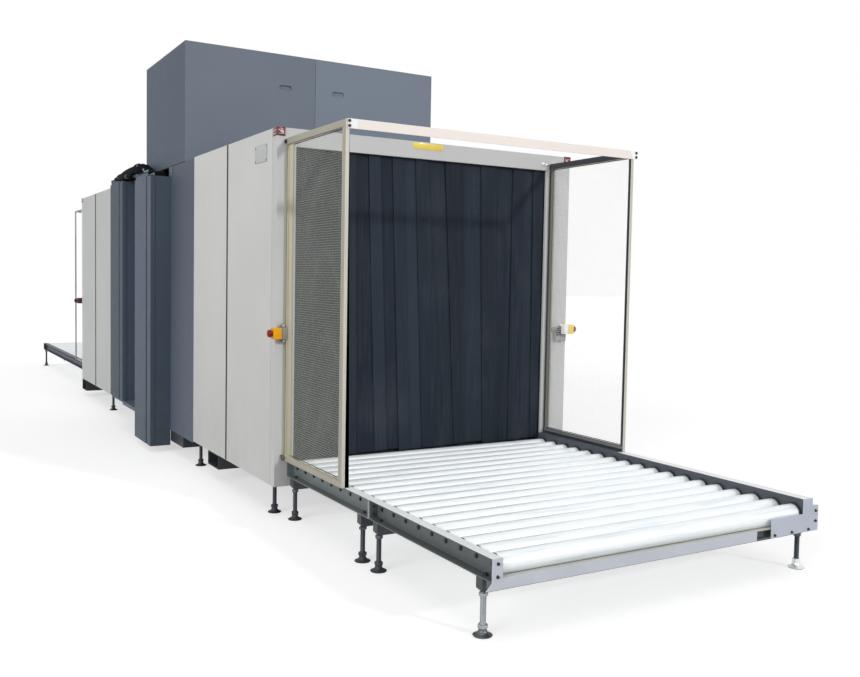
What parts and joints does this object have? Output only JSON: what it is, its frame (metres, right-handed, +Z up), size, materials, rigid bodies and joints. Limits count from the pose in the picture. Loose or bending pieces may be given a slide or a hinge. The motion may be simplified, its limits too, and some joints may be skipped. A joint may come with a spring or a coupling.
{
  "type": "baggage x-ray scanner",
  "caption": "Walk-in size x-ray inspection tunnel with curtained ends, roller beds in guard rails, side enclosures, a raised roof housing and stop buttons.",
  "frame": {"origin": "under the middle of the outline, on the floor", "axes": "+Z up, the tunnel and its roller beds along Y with the near bed and its bright crossbar at -Y, +X to the right as seen from the near end"},
  "size_m": [2.325, 11.952, 3.129],
  "materials": {
    "cover_paint": "satin",
    "slate_paint": "satin",
    "liner": "satin",
    "base_paint": "satin",
    "dark_steel": "satin",
    "bed_paint": "satin",
    "end_plates": "satin",
    "zinc": "satin",
    "guard_paint": "satin",
    "crossbar_paint": "satin",
    "stop_box": "satin",
    "stop_button": "gloss",
    "lamp": "gloss",
    "curtain_rubber": "matte",
    "belt": "matte",
    "hose": "matte",
    "inner_parts": "satin",
    "bolts": "satin"
  },
  "bodies": {
    "machine": {"near_front_panel": "cover_paint", "far_front_panel": "cover_paint", "near_left_panels": "cover_paint", "far_left_panels": "cover_paint", "cover_panels": "cover_paint", "tunnel_liner": "liner", "centre_shell": "slate_paint", "roof_housing": "slate_paint", "roof_panels": "slate_paint", "column_near": "slate_paint", "column_far": "slate_paint", "base_frame": "base_paint", "cabinet_feet": "dark_steel", "bed_feet": "dark_steel", "near_bed_inner": "bed_paint", "near_bed_outer": "bed_paint", "near_chain_case": "bed_paint", "near_end_plates": "end_plates", "far_bed_frame": "bed_paint", "far_rollers": "zinc", "near_guard_frame": "guard_paint", "near_crossbar": "crossbar_paint", "far_guard_frame": "guard_paint", "guard_mesh": "guard_paint", "estop_boxes": "stop_box", "face_fittings": "lamp", "near_curtain": "curtain_rubber", "far_curtain": "curtain_rubber", "tunnel_belt": "belt", "hose_bundle": "hose", "xray_generator": "inner_parts", "detector_array": "inner_parts", "electronics_rack": "inner_parts", "fasteners": "bolts", "roller_axles": "zinc", "roller_chain": "dark_steel"},
    "roller_01": {"near_roller_01": "zinc"},
    "roller_02": {"near_roller_02": "zinc"},
    "roller_03": {"near_roller_03": "zinc"},
    "roller_04": {"near_roller_04": "zinc"},
    "roller_05": {"near_roller_05": "zinc"},
    "roller_06": {"near_roller_06": "zinc"},
    "roller_07": {"near_roller_07": "zinc"},
    "roller_08": {"near_roller_08": "zinc"},
    "roller_09": {"near_roller_09": "zinc"},
    "roller_10": {"near_roller_10": "zinc"},
    "roller_11": {"near_roller_11": "zinc"},
    "roller_12": {"near_roller_12": "zinc"},
    "roller_13": {"near_roller_13": "zinc"},
    "roller_14": {"near_roller_14": "zinc"},
    "roller_15": {"near_roller_15": "zinc"},
    "roller_16": {"near_roller_16": "zinc"},
    "roller_17": {"near_roller_17": "zinc"},
    "roller_18": {"near_roller_18": "zinc"},
    "belt_drum_near": {"drum_near": "zinc"},
    "belt_drum_far": {"drum_far": "zinc"},
    "stop_button_near_left": {"estop_near_left": "stop_button"},
    "stop_button_near_right": {"estop_near_right": "stop_button"},
    "stop_button_far_left": {"estop_far_left": "stop_button"},
    "stop_button_far_right": {"estop_far_right": "stop_button"}
  },
  "joints": [
    {"name": "roller_01_spin", "type": "hinge", "parent": "machine", "child": "roller_01", "pos_m": [0.0125, -5.906, 0.2935], "axis": [1, 0, 0], "continuous": true},
    {"name": "roller_02_spin", "type": "hinge", "parent": "machine", "child": "roller_02", "pos_m": [0.0125, -5.789, 0.2935], "axis": [1, 0, 0], "continuous": true},
    {"name": "roller_03_spin", "type": "hinge", "parent": "machine", "child": "roller_03", "pos_m": [0.0125, -5.672, 0.2935], "axis": [1, 0, 0], "continuous": true},
    {"name": "roller_04_spin", "type": "hinge", "parent": "machine", "child": "roller_04", "pos_m": [0.0125, -5.555, 0.2935], "axis": [1, 0, 0], "continuous": true},
    {"name": "roller_05_spin", "type": "hinge", "parent": "machine", "child": "roller_05", "pos_m": [0.0125, -5.438, 0.2935], "axis": [1, 0, 0], "continuous": true},
    {"name": "roller_06_spin", "type": "hinge", "parent": "machine", "child": "roller_06", "pos_m": [0.0125, -5.321, 0.2935], "axis": [1, 0, 0], "continuous": true},
    {"name": "roller_07_spin", "type": "hinge", "parent": "machine", "child": "roller_07", "pos_m": [0.0125, -5.204, 0.2935], "axis": [1, 0, 0], "continuous": true},
    {"name": "roller_08_spin", "type": "hinge", "parent": "machine", "child": "roller_08", "pos_m": [0.0125, -5.087, 0.2935], "axis": [1, 0, 0], "continuous": true},
    {"name": "roller_09_spin", "type": "hinge", "parent": "machine", "child": "roller_09", "pos_m": [0.0125, -4.97, 0.2935], "axis": [1, 0, 0], "continuous": true},
    {"name": "roller_10_spin", "type": "hinge", "parent": "machine", "child": "roller_10", "pos_m": [0.0125, -4.853, 0.2935], "axis": [1, 0, 0], "continuous": true},
    {"name": "roller_11_spin", "type": "hinge", "parent": "machine", "child": "roller_11", "pos_m": [0.0125, -4.736, 0.2935], "axis": [1, 0, 0], "continuous": true},
    {"name": "roller_12_spin", "type": "hinge", "parent": "machine", "child": "roller_12", "pos_m": [0.0125, -4.619, 0.2935], "axis": [1, 0, 0], "continuous": true},
    {"name": "roller_13_spin", "type": "hinge", "parent": "machine", "child": "roller_13", "pos_m": [0.0125, -4.502, 0.2935], "axis": [1, 0, 0], "continuous": true},
    {"name": "roller_14_spin", "type": "hinge", "parent": "machine", "child": "roller_14", "pos_m": [0.0125, -4.385, 0.2935], "axis": [1, 0, 0], "continuous": true},
    {"name": "roller_15_spin", "type": "hinge", "parent": "machine", "child": "roller_15", "pos_m": [0.0125, -4.268, 0.2935], "axis": [1, 0, 0], "continuous": true},
    {"name": "roller_16_spin", "type": "hinge", "parent": "machine", "child": "roller_16", "pos_m": [0.0125, -4.151, 0.2935], "axis": [1, 0, 0], "continuous": true},
    {"name": "roller_17_spin", "type": "hinge", "parent": "machine", "child": "roller_17", "pos_m": [0.0125, -4.034, 0.2935], "axis": [1, 0, 0], "continuous": true},
    {"name": "roller_18_spin", "type": "hinge", "parent": "machine", "child": "roller_18", "pos_m": [0.0125, -3.917, 0.2935], "axis": [1, 0, 0], "continuous": true},
    {"name": "drum_near_spin", "type": "hinge", "parent": "machine", "child": "belt_drum_near", "pos_m": [0.0135, -3.754, 0.275], "axis": [1, 0, 0], "continuous": true},
    {"name": "drum_far_spin", "type": "hinge", "parent": "machine", "child": "belt_drum_far", "pos_m": [0.0135, 2.197, 0.275], "axis": [1, 0, 0], "continuous": true},
    {"name": "stop_near_left_press", "type": "slide", "parent": "machine", "child": "stop_button_near_left", "axis": [1, 0, 0], "range_m": [0, 0.006], "stiffness_N_per_m": 1500},
    {"name": "stop_near_right_press", "type": "slide", "parent": "machine", "child": "stop_button_near_right", "axis": [-1, 0, 0], "range_m": [0, 0.006], "stiffness_N_per_m": 1500},
    {"name": "stop_far_left_press", "type": "slide", "parent": "machine", "child": "stop_button_far_left", "axis": [1, 0, 0], "range_m": [0, 0.006], "stiffness_N_per_m": 1500},
    {"name": "stop_far_right_press", "type": "slide", "parent": "machine", "child": "stop_button_far_right", "axis": [-1, 0, 0], "range_m": [0, 0.006], "stiffness_N_per_m": 1500}
  ],
  "couplings": [
    {"joint": "roller_02_spin", "follows": "roller_01_spin", "ratio": 1},
    {"joint": "roller_03_spin", "follows": "roller_01_spin", "ratio": 1},
    {"joint": "roller_04_spin", "follows": "roller_01_spin", "ratio": 1},
    {"joint": "roller_05_spin", "follows": "roller_01_spin", "ratio": 1},
    {"joint": "roller_06_spin", "follows": "roller_01_spin", "ratio": 1},
    {"joint": "roller_07_spin", "follows": "roller_01_spin", "ratio": 1},
    {"joint": "roller_08_spin", "follows": "roller_01_spin", "ratio": 1},
    {"joint": "roller_09_spin", "follows": "roller_01_spin", "ratio": 1},
    {"joint": "roller_10_spin", "follows": "roller_01_spin", "ratio": 1},
    {"joint": "roller_11_spin", "follows": "roller_01_spin", "ratio": 1},
    {"joint": "roller_12_spin", "follows": "roller_01_spin", "ratio": 1},
    {"joint": "roller_13_spin", "follows": "roller_01_spin", "ratio": 1},
    {"joint": "roller_14_spin", "follows": "roller_01_spin", "ratio": 1},
    {"joint": "roller_15_spin", "follows": "roller_01_spin", "ratio": 1},
    {"joint": "roller_16_spin", "follows": "roller_01_spin", "ratio": 1},
    {"joint": "roller_17_spin", "follows": "roller_01_spin", "ratio": 1},
    {"joint": "roller_18_spin", "follows": "roller_01_spin", "ratio": 1},
    {"joint": "drum_far_spin", "follows": "drum_near_spin", "ratio": 1}
  ]
}
